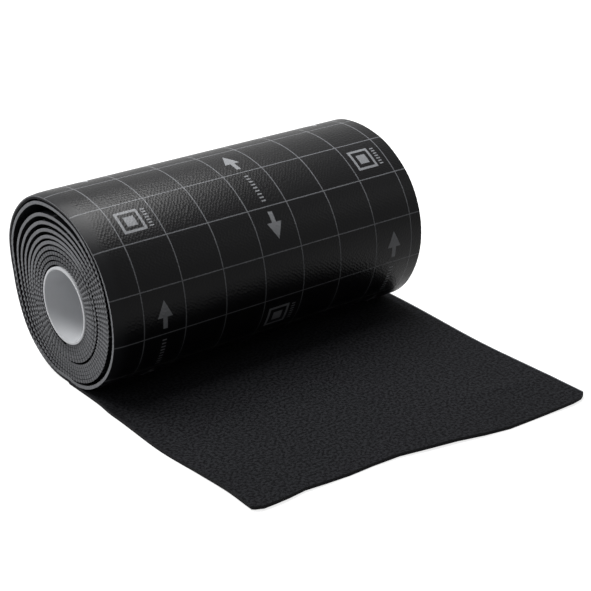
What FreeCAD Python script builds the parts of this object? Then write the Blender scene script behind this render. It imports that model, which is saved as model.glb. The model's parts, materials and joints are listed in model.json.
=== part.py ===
import FreeCAD, Part
import math
import os
import Sketcher

# A roll of lead-free flashing lying on its side, with its free end rolled out flat on the floor.
# X runs along the core tube, +Z is up, and the free end lies towards -Y.
# The origin is on the core's axis, halfway across the width. Millimetres and degrees.

dims = {
    "strip_width": 400.0,      # across the strip, along the roll
    "strip_thickness": 3.3,
    "turn_count": 12,          # turns from the core to the outside
    "turn_gap": 0.5,           # air between two turns where they lie tightest
    "loose_shift": 12.5,       # how far the outermost turn's centre has slackened off the core's axis
    "loose_angle": 61,         # which way it has gone, up from +Y
    "loose_power": 2.5,        # 1 slackens every turn alike, more keeps the inner turns tight
    "end_gap_depth": 6.0,      # how deep the gaps between turns are cut into each end
    "core_bore": 76.0,
    "core_wall": 3.0,
    "core_clearance": 0.1,     # between the core tube and the first turn
    "free_end_near": 323.0,    # reach of the free end from the core's axis, at the near edge
    "free_end_dip": 330.0,     # where its edge starts to run out
    "free_end_peak": 355.0,    # where it reaches furthest
    "free_end_far": 350.0,     # at the far edge
    "dip_place": 160.0,        # how far across the strip the dip and the peak are
    "peak_place": 290.0,
    "wave_radius": 150.0,      # rounding of the dip and the peak
    "corner_radius": 6.0,      # rounding of the free end's two corners
}

doc = FreeCAD.newDocument("flashing_roll")
sheet = doc.addObject("Spreadsheet::Sheet", "Sheet")
for row, (alias, value) in enumerate(dims.items(), start=1):
    sheet.set(f"A{row}", str(value))
    sheet.setAlias(f"A{row}", alias)
doc.recompute()

# Formulas shared by several features, written in the names of the sheet's cells.
half_width = "Sheet.strip_width / 2"
core_radius = "(Sheet.core_bore / 2 + Sheet.core_wall)"
first_turn_radius = f"({core_radius} + Sheet.core_clearance)"
turn_count = dims["turn_count"]


def turn_shift(turn):
    """How far this turn's centre lies off the core's axis."""
    return f"Sheet.loose_shift * ({turn - 1} / (Sheet.turn_count - 1)) ^ Sheet.loose_power"


def turn_inside(turn):
    """Radius of a turn's inner face."""
    laid = f"{turn - 1} * (Sheet.strip_thickness + Sheet.turn_gap)"
    return f"{first_turn_radius} + {laid} + {turn_shift(turn)}"


def turn_outside(turn):
    """Radius of a turn's outer face."""
    return f"{turn_inside(turn)} + Sheet.strip_thickness"


roll_radius = f"({turn_outside(turn_count)})"
roll_centre_y = "Sheet.loose_shift * cos(Sheet.loose_angle)"
roll_centre_z = "Sheet.loose_shift * sin(Sheet.loose_angle)"
floor_level = f"{roll_centre_z} - {roll_radius}"


def value_of(formula):
    """The number that a formula gives, for a sketch's first draft."""
    result = doc.getObject("Sheet").evalExpression(formula)
    return float(getattr(result, "Value", result))


def add_sketch(body, name, plane_role, offsets):
    """A sketch on one of the body's own origin planes, moved by formulas along the sketch's axes."""
    sketch = body.newObject("Sketcher::SketchObject", name)
    plane = next(item for item in body.Origin.OriginFeatures if item.Role == plane_role)
    sketch.AttachmentSupport = [(plane, "")]
    sketch.MapMode = "FlatFace"
    for axis, formula in offsets.items():
        sketch.setExpression(f"AttachmentOffset.Base.{axis}", formula)
    return sketch


def fix_point(sketch, name, geometry, point, formulas):
    """Hold a point of a sketch at two formulas, measured from the sketch's origin."""
    for kind, formula in zip(("DistanceX", "DistanceY"), formulas):
        target = value_of(formula)
        if abs(target) < 1e-9:
            on_axis = -2 if kind == "DistanceX" else -1
            sketch.addConstraint(Sketcher.Constraint("PointOnObject", geometry, point, on_axis))
            continue
        label = f"{name}_{kind[-1].lower()}"
        if target > 0:
            ends = (-1, 1, geometry, point)
        else:
            ends = (geometry, point, -1, 1)
            formula = f"-({formula})"
        index = sketch.addConstraint(Sketcher.Constraint(kind, *ends, abs(target)))
        sketch.renameConstraint(index, label)
        sketch.setExpression(f"Constraints.{label}", formula)


def add_circle(sketch, name, centre, radius):
    middle = FreeCAD.Vector(value_of(centre[0]), value_of(centre[1]), 0)
    circle = Part.Circle(middle, FreeCAD.Vector(0, 0, 1), value_of(radius))
    geometry = sketch.addGeometry(circle, False)
    fix_point(sketch, name, geometry, 3, centre)
    index = sketch.addConstraint(Sketcher.Constraint("Radius", geometry, value_of(radius)))
    sketch.renameConstraint(index, f"{name}_radius")
    sketch.setExpression(f"Constraints.{name}_radius", radius)


def add_outline(sketch, corners):
    """A closed outline of straight edges through named corners."""
    names = list(corners)
    places = [FreeCAD.Vector(value_of(x), value_of(y), 0) for x, y in corners.values()]
    edges = []
    for start, end in zip(places, places[1:] + places[:1]):
        edges.append(sketch.addGeometry(Part.LineSegment(start, end), False))
    for edge, following in zip(edges, edges[1:] + edges[:1]):
        sketch.addConstraint(Sketcher.Constraint("Coincident", edge, 2, following, 1))
    for name, edge in zip(names, edges):
        fix_point(sketch, name, edge, 1, corners[name])


def add_feature(body, kind, name, grows, **settings):
    """A feature that has to add material, or to remove it, or the script stops."""
    before = body.Shape.Volume if body.Tip else 0.0
    feature = body.newObject(kind, name)
    for setting, value in settings.items():
        if isinstance(value, str) and "Sheet." in value:
            feature.setExpression(setting, value)
        else:
            setattr(feature, setting, value)
    doc.recompute()
    change = body.Shape.Volume - before
    if change == 0 or (change > 0) != grows:
        raise RuntimeError(f"{name} changed the volume by {change:.3f}")
    return feature


def upright_edges(shape, places):
    """Names of the upright edges that stand at the given places."""
    found = []
    for number, edge in enumerate(shape.Edges, start=1):
        top, bottom = edge.Vertexes[0].Point, edge.Vertexes[-1].Point
        if math.hypot(top.x - bottom.x, top.y - bottom.y) > 1e-6:
            continue
        if any(math.hypot(top.x - x, top.y - y) < 1e-6 for x, y in places):
            found.append(f"Edge{number}")
    return found


def add_rounding(body, name, base, corners, radius):
    places = [(value_of(x), value_of(y)) for x, y in corners]
    edges = upright_edges(base.Shape, places)
    if len(edges) != len(places):
        raise RuntimeError(f"{name} found {len(edges)} edges, not {len(places)}")
    feature = body.newObject("PartDesign::Fillet", name)
    feature.Base = (base, edges)
    feature.setExpression("Radius", radius)
    doc.recompute()
    return feature


def make_strip():
    """The whole strip: wound body, bore, free end, and the gaps that show on both ends."""
    body = doc.addObject("PartDesign::Body", "flashing_strip")
    body.Label = "flashing_strip"

    # Turned about the axis that the outermost turn has slackened to.
    section = add_sketch(body, "wound_section", "XZ_Plane",
                         {"y": roll_centre_z, "z": f"-({roll_centre_y})"})
    add_outline(section, {
        "near_axis": (f"-{half_width}", "0 * Sheet.strip_width"),
        "far_axis": (half_width, "0 * Sheet.strip_width"),
        "far_rim": (half_width, roll_radius),
        "near_rim": (f"-{half_width}", roll_radius),
    })
    add_feature(body, "PartDesign::Revolution", "wound_body", True,
                Profile=section, ReferenceAxis=(section, ["H_Axis"]), Angle=360)

    # The free end leaves under the roll and lies flat, cut a little askew.
    corners = {
        "root_near": (f"-{half_width}", roll_centre_y),
        "root_far": (half_width, roll_centre_y),
        "far": (half_width, "-Sheet.free_end_far"),
        "peak": (f"Sheet.peak_place - {half_width}", "-Sheet.free_end_peak"),
        "dip": (f"Sheet.dip_place - {half_width}", "-Sheet.free_end_dip"),
        "near": (f"-{half_width}", "-Sheet.free_end_near"),
    }
    plan = add_sketch(body, "free_end_plan", "XY_Plane", {"z": floor_level})
    add_outline(plan, corners)
    free_end = add_feature(body, "PartDesign::Pad", "free_end", True,
                           Profile=plan, Length="Sheet.strip_thickness")
    waved = add_rounding(body, "free_end_wave", free_end,
                         [corners["peak"], corners["dip"]], "Sheet.wave_radius")
    add_rounding(body, "free_end_corners", waved,
                 [corners["near"], corners["far"]], "Sheet.corner_radius")

    bore = add_sketch(body, "bore_circle", "YZ_Plane", {"z": half_width})
    add_circle(bore, "bore", ("0 * Sheet.core_bore", "0 * Sheet.core_bore"), first_turn_radius)
    add_feature(body, "PartDesign::Pocket", "bore", False,
                Profile=bore, Length="Sheet.strip_width")

    # Each gap is a crescent: its two circles touch but for the turn gap on the tight side.
    for side, place, inwards in (("near", f"-{half_width}", True), ("far", half_width, False)):
        gaps = add_sketch(body, f"{side}_end_gaps", "YZ_Plane", {"z": place})
        for turn in range(1, turn_count):
            for edge, owner, radius in (("inner", turn, turn_outside(turn)),
                                        ("outer", turn + 1, turn_inside(turn + 1))):
                shift = turn_shift(owner)
                centre = (f"{shift} * cos(Sheet.loose_angle)", f"{shift} * sin(Sheet.loose_angle)")
                add_circle(gaps, f"gap{turn}_{edge}", centre, radius)
        add_feature(body, "PartDesign::Pocket", f"{side}_turn_gaps", False,
                    Profile=gaps, Length="Sheet.end_gap_depth", Reversed=inwards)
    return body


def make_core():
    """The tube that the strip is wound on, cut to the strip's width."""
    body = doc.addObject("PartDesign::Body", "core_tube")
    body.Label = "core_tube"
    ring = add_sketch(body, "tube_ring", "YZ_Plane", {})
    middle = ("0 * Sheet.core_bore", "0 * Sheet.core_bore")
    add_circle(ring, "tube_outside", middle, core_radius)
    add_circle(ring, "tube_inside", middle, "Sheet.core_bore / 2")
    add_feature(body, "PartDesign::Pad", "tube", True,
                Profile=ring, Length="Sheet.strip_width", SideType="Symmetric")
    return body


sub_parts = [make_strip(), make_core()]
doc.recompute()

for item in doc.Objects:
    if "Invalid" in item.State or "Error" in item.State:
        raise RuntimeError(f"{item.Name} failed: {item.State}")
for body in sub_parts:
    if body.Shape.isNull() or not body.Shape.isValid() or len(body.Shape.Solids) != 1:
        raise RuntimeError(f"{body.Label} is not one valid solid")

os.makedirs("parts", exist_ok=True)
for body in sub_parts:
    body.Shape.exportStep(f"parts/{body.Label}.step")
    box = body.Shape.BoundBox
    print(f"{body.Label}: {body.Shape.Volume / 1e6:.4f} litres, "
          f"x {box.XMin:.1f} to {box.XMax:.1f}, y {box.YMin:.1f} to {box.YMax:.1f}, "
          f"z {box.ZMin:.1f} to {box.ZMax:.1f}")
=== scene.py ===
import json
from math import cos, pi, radians, sin

import bmesh
import bpy
import numpy as np
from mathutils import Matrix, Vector


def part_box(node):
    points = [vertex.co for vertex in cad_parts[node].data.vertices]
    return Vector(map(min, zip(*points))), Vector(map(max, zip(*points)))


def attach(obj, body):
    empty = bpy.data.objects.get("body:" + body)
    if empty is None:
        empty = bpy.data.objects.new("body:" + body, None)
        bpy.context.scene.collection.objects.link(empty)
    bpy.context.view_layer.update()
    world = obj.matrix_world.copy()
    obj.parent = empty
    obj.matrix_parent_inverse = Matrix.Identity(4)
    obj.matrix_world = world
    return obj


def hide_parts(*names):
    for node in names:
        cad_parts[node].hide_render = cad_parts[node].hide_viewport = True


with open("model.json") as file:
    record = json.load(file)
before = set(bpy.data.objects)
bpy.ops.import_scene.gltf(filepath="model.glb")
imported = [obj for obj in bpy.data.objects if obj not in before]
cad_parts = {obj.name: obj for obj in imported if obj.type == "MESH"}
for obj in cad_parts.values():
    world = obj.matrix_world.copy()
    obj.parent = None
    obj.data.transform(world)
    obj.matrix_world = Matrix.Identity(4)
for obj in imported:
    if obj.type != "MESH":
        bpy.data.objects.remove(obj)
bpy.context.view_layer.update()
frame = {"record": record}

stripLow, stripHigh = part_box("flashing_strip")
tubeLow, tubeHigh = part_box("core_tube")
stripWidth = stripHigh.x - stripLow.x
floorLevel = stripLow.z


def only(obj):           # selects one object and nothing else
    bpy.ops.object.select_all(action="DESELECT")
    obj.select_set(True)
    bpy.context.view_layer.objects.active = obj


def applyModifiers(obj):
    only(obj)
    for modifier in list(obj.modifiers):
        bpy.ops.object.modifier_apply(modifier=modifier.name)


def readPoints(mesh):
    points = np.zeros(len(mesh.vertices) * 3)
    mesh.vertices.foreach_get("co", points)
    return points.reshape(-1, 3)


def smoothStep(value, start, end):
    part = np.clip((value - start) / (end - start), 0, 1)
    return part * part * (3 - 2 * part)


def smoothCurve(points, at):      # passes smoothly through a few points, level at both ends
    x = np.array([p[0] for p in points], float)
    y = np.array([p[1] for p in points], float)
    slope = np.gradient(y, x)
    slope[0] = slope[-1] = 0
    i = np.clip(np.searchsorted(x, at) - 1, 0, len(x) - 2)
    h = x[i + 1] - x[i]
    t = np.clip((at - x[i]) / h, 0, 1)
    return (y[i] * (1 + 2 * t) * (1 - t) ** 2 + slope[i] * h * t * (1 - t) ** 2
            + y[i + 1] * t * t * (3 - 2 * t) + slope[i + 1] * h * t * t * (t - 1))


# The strip: sizes in metres, angles in degrees up from +Y.
strip = {
    "thickness": 0.0036,
    "turnGap": 0.0002,           # air between turns where they lie tight
    "turns": 11,                 # whole turns from the start at the core to the floor
    "firstFace": 0.0444,         # radius of the outer face where the strip starts
    "slackShare": [(0, 0), (2, 0.07), (3.5, 0.14), (4.5, 0.2), (5.5, 0.27), (6.5, 0.37), (7.5, 0.49),
                   (8.5, 0.63), (9.5, 0.89), (10.2, 1), (11, 1)],     # turn, share of the slack below
    "rearSlack": [(-90, 1.6), (-70, 5), (-50, 9.4), (-35, 13), (-20, 15), (-8, 17.4), (2, 20.4), (12, 26.3),
                  (22, 32.3), (34, 35), (48, 34.8), (64, 33), (79, 27.8), (93, 23.6), (112, 19.2),
                  (135, 12), (158, 4.4), (185, 0.6), (222, 0.3), (245, 0.6), (270, 1.6)],
    "frontSlack": [(-90, 0), (60, 0), (100, 0), (118, 0.8), (138, 5.2), (158, 9.3), (185, 10), (203, 8.8),
                   (222, 8), (245, 6.3), (262, 2.6), (270, 0)],   # both in millimetres, on the outermost turn
    "splitTurn": 4.6,            # the winding has parted at this turn, on its front
    "splitShare": 0.3,
    "outerShare": 0.6,           # how much of the front slack is under the outermost turn alone
    "bulge": 3.2,                # the outermost turn stands off at the near end
    "bulgeAngle": 200,
    "farSwell": 1.6,             # and it is a little wider at the far end
    "innerTeeth": 64,            # mesh ends in one turn, inside the split and outside it
    "outerTeeth": 96,
    "stationsPerTooth": 4,
    "toothProud": 0.0012,
    "marginFall": 0.0016,        # the near margin of the outermost turn rounds inwards
    "marginWidth": 0.018,
    "slotShadeStrength": 0.8,            # how strong the painted shade in the slots between the mesh ends is
    "columns": 4,
    "extraColumns": 4,           # more columns in the outermost turn and the free end
    "extraFrom": 9.75,
    "outermostFrom": (9.7, 9.95),     # the outermost turn comes free between these turns
    "freeEnd": [(-0.200, 0.319), (-0.196, 0.3232), (-0.182, 0.3245), (-0.170, 0.3272), (-0.160, 0.3245),
                (-0.100, 0.3255), (-0.030, 0.3275), (0.000, 0.3345), (0.030, 0.340), (0.085, 0.3515),
                (0.130, 0.353), (0.160, 0.3545), (0.188, 0.3535), (0.196, 0.3512), (0.200, 0.3465)],
    "nearEdge": [(0, 0), (0.03, 0), (0.06, 0.4), (0.085, 2.4), (0.105, 2.7), (0.12, 3.2), (0.18, 4.8),
                 (0.24, 0.8), (0.28, -1.2), (0.32, 0)],     # distance out, millimetres wider there
    "farEdge": 0.009,            # the far edge stands out this much beside the roll
    "crease": (0.135, 0.285, 0.0012),           # place across, distance out, height
    "freeRows": 130,
    "freeLift": 0.0016,
}


def faceRadius(turn, x):         # radius of the outer face, after so many turns from the core
    angle = 270 - (turn % 1) * 360
    tight = strip["firstFace"] + (strip["thickness"] + strip["turnGap"]) * turn
    share = smoothCurve(strip["slackShare"], turn)
    outermost = smoothStep(turn, *strip["outermostFrom"])
    parted = strip["splitShare"] * smoothStep(turn, strip["splitTurn"] - 0.5, strip["splitTurn"] + 0.1)
    rest = 1 - strip["splitShare"] - strip["outerShare"]
    rear = smoothCurve(strip["rearSlack"], angle) * share
    frontShare = parted + rest * share + strip["outerShare"] * outermost
    front = smoothCurve(strip["frontSlack"], angle) * frontShare
    nearness = np.clip(0.5 - x / stripWidth, 0, 1)
    bulge = strip["bulge"] * np.exp(-((angle - strip["bulgeAngle"]) / 24) ** 2) * nearness
    swell = strip["farSwell"] * np.exp(-((angle - 145) / 50) ** 2) * (1 - nearness)
    return tight + (rear + front + (bulge + swell) * outermost) / 1000


def woundPlace(turn, x):
    angle = np.radians(270 - turn * 360)
    radius = faceRadius(turn, x)
    return radius * np.cos(angle), radius * np.sin(angle)


def layStations():               # turn number of each row of the wound part
    inner = strip["innerTeeth"] * strip["stationsPerTooth"]
    outer = strip["outerTeeth"] * strip["stationsPerTooth"]
    first = np.arange(0, strip["splitTurn"], 1 / inner)
    second = np.arange(first[-1] + 1 / outer, strip["turns"] - 0.5 / outer, 1 / outer)
    return np.concatenate([first, second, [strip["turns"]]])


turnsAt = layStations()
midY, midZ = woundPlace(turnsAt, 0.0)
lengthAt = np.concatenate([[0], np.cumsum(np.hypot(np.diff(midY), np.diff(midZ)))])
woundLength = lengthAt[-1]


def layFlat():                   # a grid as the strip was before it was rolled up: rows along, columns across
    rows = len(turnsAt) + strip["freeRows"]
    bpy.ops.object.select_all(action="DESELECT")
    bpy.ops.mesh.primitive_grid_add(x_subdivisions=strip["columns"], y_subdivisions=rows - 1, size=1)
    piece = bpy.context.active_object
    piece.name = "flashing_strip_wound"
    points = readPoints(piece.data)
    points[:, 0] *= stripWidth
    points[:, 1] = np.rint((points[:, 1] + 0.5) * (rows - 1))
    piece.data.vertices.foreach_set("co", points.ravel())
    bpy.ops.object.mode_set(mode="EDIT")
    bpy.ops.mesh.select_mode(type="EDGE")
    bpy.ops.mesh.select_all(action="DESELECT")
    edit = bmesh.from_edit_mesh(piece.data)
    firstRow = np.searchsorted(turnsAt, strip["extraFrom"])
    for edge in edit.edges:
        one, other = edge.verts
        edge.select_set(abs(one.co.y - other.co.y) < 0.5 and one.co.y > firstRow)
    bmesh.update_edit_mesh(piece.data)
    bpy.ops.mesh.subdivide(number_cuts=strip["extraColumns"])
    bpy.ops.object.mode_set(mode="OBJECT")
    return piece


def mapFlat(mesh, x, along):     # the strip's own map: metres across from the near edge, metres along
    while mesh.uv_layers:
        mesh.uv_layers.remove(mesh.uv_layers[0])
    layer = mesh.uv_layers.new(name="Strip")
    corner = np.zeros(len(mesh.loops), int)
    mesh.loops.foreach_get("vertex_index", corner)
    layer.data.foreach_set("uv", np.stack([x[corner] - stripLow.x, along[corner]], 1).ravel())


def rollUp(piece):
    mesh = piece.data
    points = readPoints(mesh)
    half = stripWidth / 2
    x, row = half * np.sin(pi / 2 * points[:, 0] / half), np.rint(points[:, 1]).astype(int)
    last = len(turnsAt) - 1
    wound = row <= last
    reach = smoothCurve(strip["freeEnd"], x)
    out = np.where(wound, 0, reach * (row - last) / strip["freeRows"])
    mapFlat(mesh, x, np.where(wound, lengthAt[np.minimum(row, last)], woundLength + out))
    turn = turnsAt[np.minimum(row, last)]
    y, z = woundPlace(turn, x)
    near = np.clip(1 - (x - stripLow.x) / strip["marginWidth"], 0, 1) ** 2
    fall = 1 - strip["marginFall"] * near * smoothStep(turn, 9.9, 10.1) / np.hypot(y, z)
    y, z = y * fall, z * fall
    lift = strip["freeLift"] * smoothStep(out, 0.16, 0.33) * (0.5 + 0.5 * np.sin(x * 34 + 1.1))
    creaseX, creaseOut, creaseHigh = strip["crease"]
    ridge = np.exp(-((out - creaseOut - 0.25 * (x - creaseX)) / 0.009) ** 2 - ((x - creaseX) / 0.045) ** 2)
    lift = lift + creaseHigh * ridge
    bow = smoothCurve(strip["nearEdge"], out) / 1000
    bow = np.where(x > 0, strip["farEdge"] * smoothStep(-out, -0.23, -0.03) * smoothStep(turn, 10.6, 11), bow)
    points[:, 0] = x * (1 + bow / half)
    points[:, 1] = np.where(wound, y, -out)
    points[:, 2] = np.where(wound, z, floorLevel + lift)
    mesh.vertices.foreach_set("co", points.ravel())
    mesh.update()
    if min(mesh.polygons, key=lambda face: face.center.y).normal.z > 0:
        mesh.flip_normals()      # the floor side of the free end faces down


def cutTeeth(piece):             # the ends of the mesh in the strip stand proud of its cut edges
    mesh = piece.data
    points = readPoints(mesh)
    angle = np.degrees(np.arctan2(points[:, 2], points[:, 1]))
    corner = np.zeros(len(mesh.loops), int)
    mesh.loops.foreach_get("vertex_index", corner)
    flat = np.zeros(len(mesh.loops) * 2)
    mesh.uv_layers["Strip"].data.foreach_get("uv", flat)
    along = np.zeros(len(mesh.vertices))
    along[corner] = flat[1::2]
    turn = np.interp(along, lengthAt, turnsAt)
    free = along > woundLength + 1e-6
    teeth = np.where(turn < strip["splitTurn"], strip["innerTeeth"], strip["outerTeeth"])
    wave = 0.5 + 0.5 * np.cos(2 * pi * turn * teeth)
    loose = smoothStep(angle, -15, 25) * smoothStep(-angle, -140, -112) * smoothStep(turn, 2.5, 5)
    tight = (1 - 0.9 * loose) * (1 - 0.85 * smoothStep(turn, 9.85, 10.0)) * np.where(free, 0, 1)
    across = np.zeros(len(mesh.vertices))
    across[corner] = flat[0::2]
    edge = np.abs(across - stripWidth / 2) > stripWidth / 2 - 1e-5
    uneven = 0.0004 * np.sin(turn * 0.7) + 0.0003 * smoothStep(turn, 4.5, 4.7)
    uneven = uneven + 0.0004 * loose * np.sin(turn * 5.1)
    uneven = np.where(turn < 10.9, uneven - 0.0008, 0) * smoothStep(-turn, -11.0, -10.6)
    push = strip["toothProud"] * (wave - 1) * tight + uneven
    points[:, 0] += np.where(edge, np.sign(points[:, 0]) * push, 0)
    mesh.vertices.foreach_set("co", points.ravel())
    # painted shade in the slots between the mesh ends, strongest where the turns lie tight
    cutShade = mesh.attributes.new("cutShade", "FLOAT", "POINT")
    cutShade.data.foreach_set("value", (1 - wave) ** 1.5 * tight * strip["slotShadeStrength"])
    inside = np.arange(len(points)) >= len(points) // 2          # the inner skin comes after the outer one
    # painted shade on the inner part of the cut edges, where the turns stand loose and along the rear top of
    # the outermost turn
    top = smoothStep(angle, -60, -30) * smoothStep(-angle, -170, -110)
    depth = mesh.attributes.new("depth", "FLOAT", "POINT")
    depth.data.foreach_set("value", inside * np.where(turn > 9.9, 1.6 * top, 0.35 * loose))
    rolled = mesh.attributes.new("rolled", "FLOAT", "POINT")
    rolled.data.foreach_set("value", np.where(free, 0, 1) * smoothStep(-turn, -11.0, -10.85))
    mesh.update()


def makeStrip():
    piece = layFlat()
    rollUp(piece)
    solid = piece.modifiers.new("Thickness", "SOLIDIFY")
    solid.thickness = strip["thickness"]
    solid.offset = -1
    solid.material_offset = 1
    solid.material_offset_rim = 2
    for name in ("filmFinish", "grainFinish", "cutFinish"):
        piece.data.materials.append(bpy.data.materials[name])
    applyModifiers(piece)
    cutTeeth(piece)
    only(piece)
    bpy.ops.object.shade_smooth_by_angle(angle=radians(50))
    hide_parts("flashing_strip")
    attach(piece, "root")
    print("strip:", len(piece.data.polygons), "faces,", round(woundLength, 3), "m wound")


core = {"segments": 160, "endBevel": 0.0005, "bevelSegments": 2}


def makeCore():
    outer, length = tubeHigh.z, tubeHigh.x - tubeLow.x
    inner = frame["record"]["mounts"][0]["dims"]["r_mm"] / 1000
    bpy.ops.object.select_all(action="DESELECT")
    bpy.ops.mesh.primitive_cylinder_add(vertices=core["segments"], radius=outer, depth=length,
                                        end_fill_type="NOTHING", rotation=(0, pi / 2, 0))
    piece = bpy.context.active_object
    piece.name = "core_tube_board"
    bpy.ops.object.transform_apply(location=True, rotation=True, scale=True)
    wall = piece.modifiers.new("Wall", "SOLIDIFY")
    wall.thickness = outer - inner
    wall.offset = -1
    rounding = piece.modifiers.new("Rounding", "BEVEL")
    rounding.width = core["endBevel"]
    rounding.segments = core["bevelSegments"]
    rounding.angle_limit = radians(60)
    applyModifiers(piece)
    only(piece)
    bpy.ops.object.shade_smooth_by_angle(angle=radians(40))
    piece.data.materials.append(bpy.data.materials["boardFinish"])
    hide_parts("core_tube")
    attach(piece, "root")
    print("core tube:", len(piece.data.polygons), "faces")


# Node helpers: a value is a number or a socket.
def calc(tree, operation, *values, clamp=False):
    node = tree.nodes.new("ShaderNodeMath")
    node.operation = operation
    node.use_clamp = clamp
    for socket, value in zip(node.inputs, values):
        if isinstance(value, (int, float)):
            socket.default_value = value
        else:
            tree.links.new(value, socket)
    return node.outputs[0]


def within(tree, value, half, soft):      # 1 where the value is nearer zero than half, with a soft edge
    away = calc(tree, "ABSOLUTE", value)
    return calc(tree, "MULTIPLY_ADD", away, -1 / soft, half / soft + 0.5, clamp=True)


def newGroup(name, inputs, outputs):
    group = bpy.data.node_groups.new(name, "ShaderNodeTree")
    for label, default in inputs.items():
        socket = group.interface.new_socket(label, in_out="INPUT", socket_type="NodeSocketFloat")
        socket.default_value = default
    for label in outputs:
        group.interface.new_socket(label, in_out="OUTPUT", socket_type="NodeSocketFloat")
    start, end = group.nodes.new("NodeGroupInput"), group.nodes.new("NodeGroupOutput")
    return group, start.outputs, end.inputs


def useGroup(tree, group, **values):
    node = tree.nodes.new("ShaderNodeGroup")
    node.node_tree = group
    for label, value in values.items():
        if isinstance(value, (int, float)):
            node.inputs[label].default_value = value
        else:
            tree.links.new(value, node.inputs[label])
    return node.outputs


# The print on the film, in millimetres.
printed = {
    "cell": 50, "nearMargin": 35, "line": 1.1, "soft": 0.5,
    "arrowTip": 11.5, "arrowHead": 18, "arrowHalf": 9, "shaftHalf": 2.6, "shaftEnd": -18.5,
    "repeat": 300,               # the marks come round every six cells
    "gridTurn": 10.39,           # a grid line lies at this turn
    "barHalf": 0.8,              # half the width of a short bar
    "frameHalf": 12, "frameLine": 1.5, "squareHalf": 6, "frameShift": 4, "besideFrame": 15.5,
}


def makeArrowGroup():            # an arrow along B, pointing to +B
    group, given, result = newGroup("arrowMark", {"A": 0, "B": 0}, ["Mask"])
    soft = printed["soft"]
    tip, headLength = printed["arrowTip"], printed["arrowHead"]
    down = calc(group, "SUBTRACT", tip, given["B"])
    reach = calc(group, "MULTIPLY", down, printed["arrowHalf"] / headLength)
    inside = calc(group, "SUBTRACT", reach, calc(group, "ABSOLUTE", given["A"]))
    head = calc(group, "MULTIPLY_ADD", inside, 1 / soft, 0.5, clamp=True)
    above = calc(group, "MULTIPLY_ADD", down, -1 / soft, headLength / soft + 0.5, clamp=True)
    head = calc(group, "MULTIPLY", head, above)
    middle = (tip - headLength + printed["shaftEnd"]) / 2
    half = (tip - headLength - printed["shaftEnd"]) / 2 + 0.3
    shaft = calc(group, "MULTIPLY", within(group, given["A"], printed["shaftHalf"], soft),
                 within(group, calc(group, "SUBTRACT", given["B"], middle), half, soft))
    group.links.new(calc(group, "MAXIMUM", head, shaft), result["Mask"])
    return group


def makeTicksGroup():            # a row of short bars along B, like a ruler's edge
    sizes = {"A": 0, "B": 0, "Half": 18, "Pitch": 4, "Tall": 2.5}
    group, given, result = newGroup("tickRow", sizes, ["Mask"])
    step = calc(group, "PINGPONG", given["B"], calc(group, "MULTIPLY", given["Pitch"], 0.5))
    bars = calc(group, "MULTIPLY_ADD", step, -2.5, printed["barHalf"] * 2.5 + 0.5, clamp=True)
    tall = calc(group, "SUBTRACT", given["Tall"], calc(group, "ABSOLUTE", given["A"]))
    wide = calc(group, "SUBTRACT", given["Half"], calc(group, "ABSOLUTE", given["B"]))
    mask = calc(group, "MULTIPLY", bars, calc(group, "MULTIPLY_ADD", tall, 2, 0.5, clamp=True))
    mask = calc(group, "MULTIPLY", mask, calc(group, "MULTIPLY_ADD", wide, 2, 0.5, clamp=True))
    group.links.new(mask, result["Mask"])
    return group


def makeFrameGroup():            # a square frame with a solid square in it, a plain register mark
    group, given, result = newGroup("registerMark", {"A": 0, "B": 0, "Half": printed["frameHalf"]}, ["Mask"])
    far = calc(group, "MAXIMUM", calc(group, "ABSOLUTE", given["A"]), calc(group, "ABSOLUTE", given["B"]))
    rim = calc(group, "SUBTRACT", far, given["Half"])
    ringSize, squareSize = printed["frameLine"] * 2 + 0.5, printed["squareHalf"] * 2 + 0.5
    ring = calc(group, "MULTIPLY_ADD", calc(group, "ABSOLUTE", rim), -2, ringSize, clamp=True)
    dot = calc(group, "MULTIPLY_ADD", far, -2, squareSize, clamp=True)
    group.links.new(calc(group, "MAXIMUM", ring, dot), result["Mask"])
    return group


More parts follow.
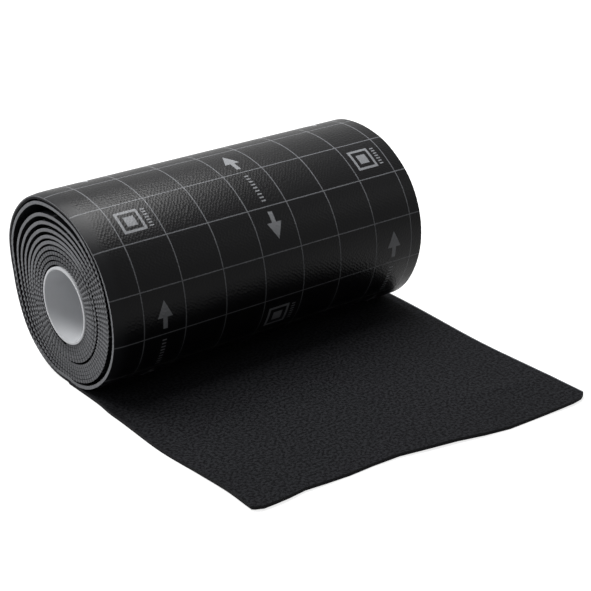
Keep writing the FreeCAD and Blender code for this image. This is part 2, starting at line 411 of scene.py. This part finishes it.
def makePrintGroup():            # grid lines and marks from the strip's own map, in metres
    group, given, result = newGroup("gridPrint", {"Across": 0, "Along": 0}, ["Lines", "Marks"])
    cell, soft = printed["cell"], printed["soft"]
    gridAt = float(np.interp(printed["gridTurn"], turnsAt, lengthAt)) * 1000 + 2 * cell
    across = calc(group, "MULTIPLY_ADD", given["Across"], 1000, -printed["nearMargin"])
    down = calc(group, "MULTIPLY_ADD", given["Along"], -1000, gridAt)
    lines = []
    for value in (across, down):
        off = calc(group, "PINGPONG", value, cell / 2)
        half = printed["line"] / 2
        lines.append(calc(group, "MULTIPLY_ADD", off, -1 / soft, half / soft + 0.5, clamp=True))
    group.links.new(calc(group, "MAXIMUM", *lines), result["Lines"])

    column = calc(group, "FLOOR", calc(group, "DIVIDE", across, cell))
    placeA = calc(group, "SUBTRACT", across, calc(group, "MULTIPLY_ADD", column, cell, cell / 2))
    arrow, ticks, register = makeArrowGroup(), makeTicksGroup(), makeFrameGroup()
    marks = None
    for isColumn, start in ((3, 0), (0, printed["repeat"] / 2), (6, printed["repeat"] / 2)):
        shown = calc(group, "COMPARE", column, isColumn, 0.5)
        place = calc(group, "FLOORED_MODULO", calc(group, "ADD", down, start), printed["repeat"])
        drawn = None
        for index, kind in enumerate(("back", "ticks", "front", None, "register", None)):
            if kind is None:
                continue
            placeB = calc(group, "SUBTRACT", place, index * cell + cell / 2)
            inCell = within(group, placeB, cell / 2, soft)
            if kind == "ticks":
                mask = useGroup(group, ticks, A=placeA, B=placeB, Half=19, Pitch=4.4, Tall=2.6)["Mask"]
            elif kind == "register":
                shifted = calc(group, "ADD", placeA, printed["frameShift"])
                mask = useGroup(group, register, A=shifted, B=placeB, Half=printed["frameHalf"])["Mask"]
                beside = calc(group, "SUBTRACT", placeA, printed["besideFrame"])
                half = printed["frameHalf"]
                row = useGroup(group, ticks, A=beside, B=placeB, Half=half, Pitch=3.6, Tall=2.4)["Mask"]
                mask = calc(group, "MAXIMUM", mask, row)
            else:
                facing = placeB if kind == "front" else calc(group, "MULTIPLY", placeB, -1)
                mask = useGroup(group, arrow, A=placeA, B=facing)["Mask"]
            mask = calc(group, "MULTIPLY", mask, inCell)
            drawn = mask if drawn is None else calc(group, "MAXIMUM", drawn, mask)
        drawn = calc(group, "MULTIPLY", drawn, shown)
        marks = drawn if marks is None else calc(group, "MAXIMUM", marks, drawn)
    group.links.new(marks, result["Marks"])
    return group


def makeEmbossGroup():           # a close, slightly uneven field of dimples on any coordinates in metres
    group = bpy.data.node_groups.new("emboss", "ShaderNodeTree")
    group.interface.new_socket("Place", in_out="INPUT", socket_type="NodeSocketVector")
    pitch = group.interface.new_socket("Pitch", in_out="INPUT", socket_type="NodeSocketFloat")
    pitch.default_value = 0.0031
    group.interface.new_socket("Height", in_out="OUTPUT", socket_type="NodeSocketFloat")
    start, end = group.nodes.new("NodeGroupInput"), group.nodes.new("NodeGroupOutput")
    cells = group.nodes.new("ShaderNodeTexVoronoi")
    cells.voronoi_dimensions = "2D"
    cells.inputs["Randomness"].default_value = 0.55
    turned = group.nodes.new("ShaderNodeVectorRotate")
    turned.inputs["Angle"].default_value = radians(38)
    group.links.new(start.outputs["Place"], turned.inputs["Vector"])
    group.links.new(turned.outputs["Vector"], cells.inputs["Vector"])
    group.links.new(calc(group, "DIVIDE", 1.0, start.outputs["Pitch"]), cells.inputs["Scale"])
    group.links.new(cells.outputs["Distance"], end.inputs["Height"])
    return group


def makeSpeckleGroup():          # fine grain with broader mottling, on any coordinates in metres
    group = bpy.data.node_groups.new("speckle", "ShaderNodeTree")
    place = group.interface.new_socket("Place", in_out="INPUT", socket_type="NodeSocketVector")
    scale = group.interface.new_socket("Scale", in_out="INPUT", socket_type="NodeSocketFloat")
    scale.default_value = 700
    for label in ("Grain", "Mottle"):
        group.interface.new_socket(label, in_out="OUTPUT", socket_type="NodeSocketFloat")
    start, end = group.nodes.new("NodeGroupInput"), group.nodes.new("NodeGroupOutput")
    for label, factor, detail in (("Grain", 1.0, 3), ("Mottle", 0.035, 4)):
        noise = group.nodes.new("ShaderNodeTexNoise")
        noise.inputs["Detail"].default_value = detail
        noise.inputs["Roughness"].default_value = 0.65
        group.links.new(start.outputs["Place"], noise.inputs["Vector"])
        group.links.new(calc(group, "MULTIPLY", start.outputs["Scale"], factor), noise.inputs["Scale"])
        group.links.new(noise.outputs["Fac"], end.inputs[label])
    return group


colours = {
    "filmDark": (0.0014, 0.0014, 0.0018),
    "filmPale": (0.003, 0.003, 0.0036),
    # the near margin is paler: partly its own smooth, duller film, partly a painted sheen where the margin
    # rounds over
    "filmMarginAndSheen": (0.005, 0.0052, 0.006),
    "gridLine": (0.14, 0.144, 0.153),
    "mark": (0.20, 0.205, 0.216),
    "grainDark": (0.0015, 0.0015, 0.002),
    "grainPale": (0.0145, 0.015, 0.0168),
    "filmEdge": (0.15, 0.155, 0.165),
    "cutDark": (0.11, 0.112, 0.118),
    "cutPale": (0.30, 0.305, 0.32),
    # painted shade colour for the cut edges, in the slots between mesh ends and on the inner part of loose
    # turns
    "cutShade": (0.012, 0.012, 0.013),
    "freeCut": (0.014, 0.014, 0.015),
    "boardDark": (0.48, 0.49, 0.51),
    "boardPale": (0.62, 0.63, 0.65),
}


def newMaterial(name):
    material = bpy.data.materials.new(name)
    material.use_nodes = True
    tree = material.node_tree
    shader = tree.nodes["Principled BSDF"]
    return tree, shader


def stripPlace(tree):            # the strip's own map, and its two parts
    node = tree.nodes.new("ShaderNodeUVMap")
    node.uv_map = "Strip"
    parts = tree.nodes.new("ShaderNodeSeparateXYZ")
    tree.links.new(node.outputs[0], parts.inputs[0])
    return node.outputs[0], parts.outputs[0], parts.outputs[1]


def mixColour(tree, share, one, other):
    node = tree.nodes.new("ShaderNodeMix")
    node.data_type = "RGBA"
    tree.links.new(share, node.inputs["Factor"])
    for socket, value in ((node.inputs[6], one), (node.inputs[7], other)):
        if isinstance(value, tuple):
            socket.default_value = (*value, 1)
        else:
            tree.links.new(value, socket)
    return node.outputs[2]


def addBump(tree, shader, height, distance):
    bump = tree.nodes.new("ShaderNodeBump")
    bump.inputs["Distance"].default_value = distance
    bump.inputs["Strength"].default_value = 1
    tree.links.new(height, bump.inputs["Height"])
    tree.links.new(bump.outputs[0], shader.inputs["Normal"])


def makeFilm():
    tree, shader = newMaterial("filmFinish")
    place, across, along = stripPlace(tree)
    masks = useGroup(tree, makePrintGroup(), Across=across, Along=along)
    fine = useGroup(tree, bpy.data.node_groups["speckle"], Place=place, Scale=320)
    margin = calc(tree, "MULTIPLY_ADD", across, -110, 1.9, clamp=True)      # smooth and duller there
    base = mixColour(tree, fine["Mottle"], colours["filmDark"], colours["filmPale"])
    # the near margin is painted paler: partly its own smooth, duller film, partly a painted sheen where it
    # rounds over
    base = mixColour(tree, margin, base, colours["filmMarginAndSheen"])
    lined = mixColour(tree, calc(tree, "MULTIPLY", masks["Lines"], 0.8), base, colours["gridLine"])
    marked = mixColour(tree, calc(tree, "MULTIPLY", masks["Marks"], 0.9), lined, colours["mark"])
    tree.links.new(marked, shader.inputs["Base Color"])
    rough = calc(tree, "MULTIPLY_ADD", fine["Mottle"], 0.12, 0.25)
    tree.links.new(calc(tree, "MULTIPLY_ADD", margin, 0.06, rough), shader.inputs["Roughness"])
    shader.inputs["Specular IOR Level"].default_value = 0.1
    dimple = useGroup(tree, makeEmbossGroup(), Place=place)["Height"]
    pressed = calc(tree, "MULTIPLY", dimple, calc(tree, "SUBTRACT", 1, margin))
    addBump(tree, shader, pressed, 0.00022)


def makeGrain():
    tree, shader = newMaterial("grainFinish")
    place, across, _ = stripPlace(tree)
    fine = useGroup(tree, bpy.data.node_groups["speckle"], Place=place, Scale=330)
    share = calc(tree, "MULTIPLY_ADD", fine["Grain"], 5.5, -2.25, clamp=True)
    share = calc(tree, "MULTIPLY", share, calc(tree, "MULTIPLY_ADD", fine["Mottle"], 0.8, 0.6))
    grain = mixColour(tree, share, colours["grainDark"], colours["grainPale"])
    film = calc(tree, "MULTIPLY_ADD", across, 1200, -1200 * (stripWidth - 0.0017), clamp=True)
    tree.links.new(mixColour(tree, film, grain, colours["filmEdge"]), shader.inputs["Base Color"])
    tree.links.new(calc(tree, "MULTIPLY_ADD", fine["Grain"], 0.2, 0.7), shader.inputs["Roughness"])
    shader.inputs["Specular IOR Level"].default_value = 0.04
    addBump(tree, shader, fine["Grain"], 0.0006)


def readAttribute(tree, name):
    node = tree.nodes.new("ShaderNodeAttribute")
    node.attribute_name = name
    return node.outputs["Fac"]


def makeCut():                   # the cut edges of the strip
    tree, shader = newMaterial("cutFinish")
    place = tree.nodes.new("ShaderNodeTexCoord").outputs["Object"]
    fine = useGroup(tree, bpy.data.node_groups["speckle"], Place=place, Scale=500)
    lit = mixColour(tree, fine["Grain"], colours["cutDark"], colours["cutPale"])
    # painted shade: the slots between the mesh ends and the inner part of loose turns are darkened towards
    # the shade colour
    edgeShade = calc(tree, "MULTIPLY_ADD", readAttribute(tree, "depth"), 1.6, -0.35, clamp=True)
    edgeShade = calc(tree, "MAXIMUM", edgeShade, readAttribute(tree, "cutShade"))
    shaded = mixColour(tree, edgeShade, lit, colours["cutShade"])
    seen = mixColour(tree, readAttribute(tree, "rolled"), colours["freeCut"], shaded)
    tree.links.new(seen, shader.inputs["Base Color"])
    tree.links.new(calc(tree, "MULTIPLY_ADD", fine["Grain"], 0.2, 0.55), shader.inputs["Roughness"])
    shader.inputs["Specular IOR Level"].default_value = 0.04
    addBump(tree, shader, fine["Grain"], 0.0003)


def makeBoard():                 # the tube's grey board
    tree, shader = newMaterial("boardFinish")
    place = tree.nodes.new("ShaderNodeTexCoord").outputs["Object"]
    fine = useGroup(tree, bpy.data.node_groups["speckle"], Place=place, Scale=400)
    board = mixColour(tree, fine["Mottle"], colours["boardDark"], colours["boardPale"])
    tree.links.new(board, shader.inputs["Base Color"])
    tree.links.new(calc(tree, "MULTIPLY_ADD", fine["Grain"], 0.15, 0.45), shader.inputs["Roughness"])
    addBump(tree, shader, fine["Grain"], 0.0001)


makeSpeckleGroup()
for make in (makeFilm, makeGrain, makeCut, makeBoard):
    make()
print("finishes made")
makeStrip()
makeCore()


view = {
    "target": (0.0416, -0.0726, -0.0286),
    "azimuth": -37.88,           # degrees
    "elevation": 23.93,
    "distance": 1.7794,
    "lens": 101.18,              # millimetres, on a sensor 36 wide
}


def placeCamera():
    turn, rise = radians(view["azimuth"]), radians(view["elevation"])
    away = Vector((sin(turn) * cos(rise), -cos(turn) * cos(rise), sin(rise)))
    data = bpy.data.cameras.new("camera")
    data.lens = view["lens"]
    data.sensor_width = 36
    camera = bpy.data.objects.new("camera", data)
    camera.location = Vector(view["target"]) + away * view["distance"]
    camera.rotation_euler = away.to_track_quat("Z", "Y").to_euler()
    bpy.context.scene.collection.objects.link(camera)
    bpy.context.scene.camera = camera


lamps = {      # place, size in metres, watts, turn about X in degrees or None to face the roll
    "sheen": ((0.25, 0.25, 1.22), (0.62, 1.02), 25, -22),
    "overhead": ((-0.70, 0.62, 1.05), (0.7, 0.7), 14, None),
    "nearSide": ((-1.45, -0.20, 0.8), (0.8, 0.8), 5, None),
    "frontRight": ((1.3, -1.15, 1.05), (0.5, 0.5), 1.1, None),
}


def placeLamps():
    for name, (place, size, watts, tilt) in lamps.items():
        data = bpy.data.lights.new(name, "AREA")
        data.shape = "RECTANGLE"
        data.size, data.size_y = size
        data.energy = watts
        lamp = bpy.data.objects.new(name, data)
        lamp.location = place
        if tilt is None:
            lamp.rotation_euler = Vector(place).to_track_quat("Z", "Y").to_euler()
        else:
            lamp.rotation_euler = (radians(tilt), 0, 0)
        bpy.context.scene.collection.objects.link(lamp)


def viewingRays(tree):           # rays that see the floor and backdrop white, reflections included
    path = tree.nodes.new("ShaderNodeLightPath")
    seen = calc(tree, "MAXIMUM", path.outputs["Is Camera Ray"], path.outputs["Is Glossy Ray"])
    return calc(tree, "MAXIMUM", seen, path.outputs["Is Transmission Ray"])


def makeSurroundings():
    bpy.ops.object.select_all(action="DESELECT")
    bpy.ops.mesh.primitive_plane_add(size=30, location=(0, 0, floorLevel - 0.0002))
    floor = bpy.context.active_object
    floor.name = "floor"
    tree, shader = newMaterial("floorFinish")
    shader.inputs["Base Color"].default_value = (0.4, 0.4, 0.4, 1)
    shader.inputs["Emission Color"].default_value = (1, 1, 1, 1)
    place = tree.nodes.new("ShaderNodeTexCoord").outputs["Object"]
    far = tree.nodes.new("ShaderNodeVectorMath")
    far.operation = "LENGTH"
    tree.links.new(place, far.inputs[0])
    glow = calc(tree, "MULTIPLY_ADD", far.outputs["Value"], 0.14, 0.76, clamp=True)
    tree.links.new(calc(tree, "MULTIPLY", viewingRays(tree), glow), shader.inputs["Emission Strength"])
    shader.inputs["Roughness"].default_value = 0.9
    shader.inputs["Specular IOR Level"].default_value = 0.1
    floor.data.materials.append(bpy.data.materials["floorFinish"])
    world = bpy.data.worlds.new("world")
    bpy.context.scene.world = world
    world.use_nodes = True
    tree = world.node_tree
    sky = tree.nodes["Background"]
    tree.links.new(calc(tree, "MULTIPLY_ADD", viewingRays(tree), 0.97, 0.03), sky.inputs["Strength"])
    sky.inputs["Color"].default_value = (1, 1, 1, 1)


placeCamera()
placeLamps()
makeSurroundings()
bpy.context.scene.view_settings.view_transform = "Standard"
print("camera, lamps and floor placed")
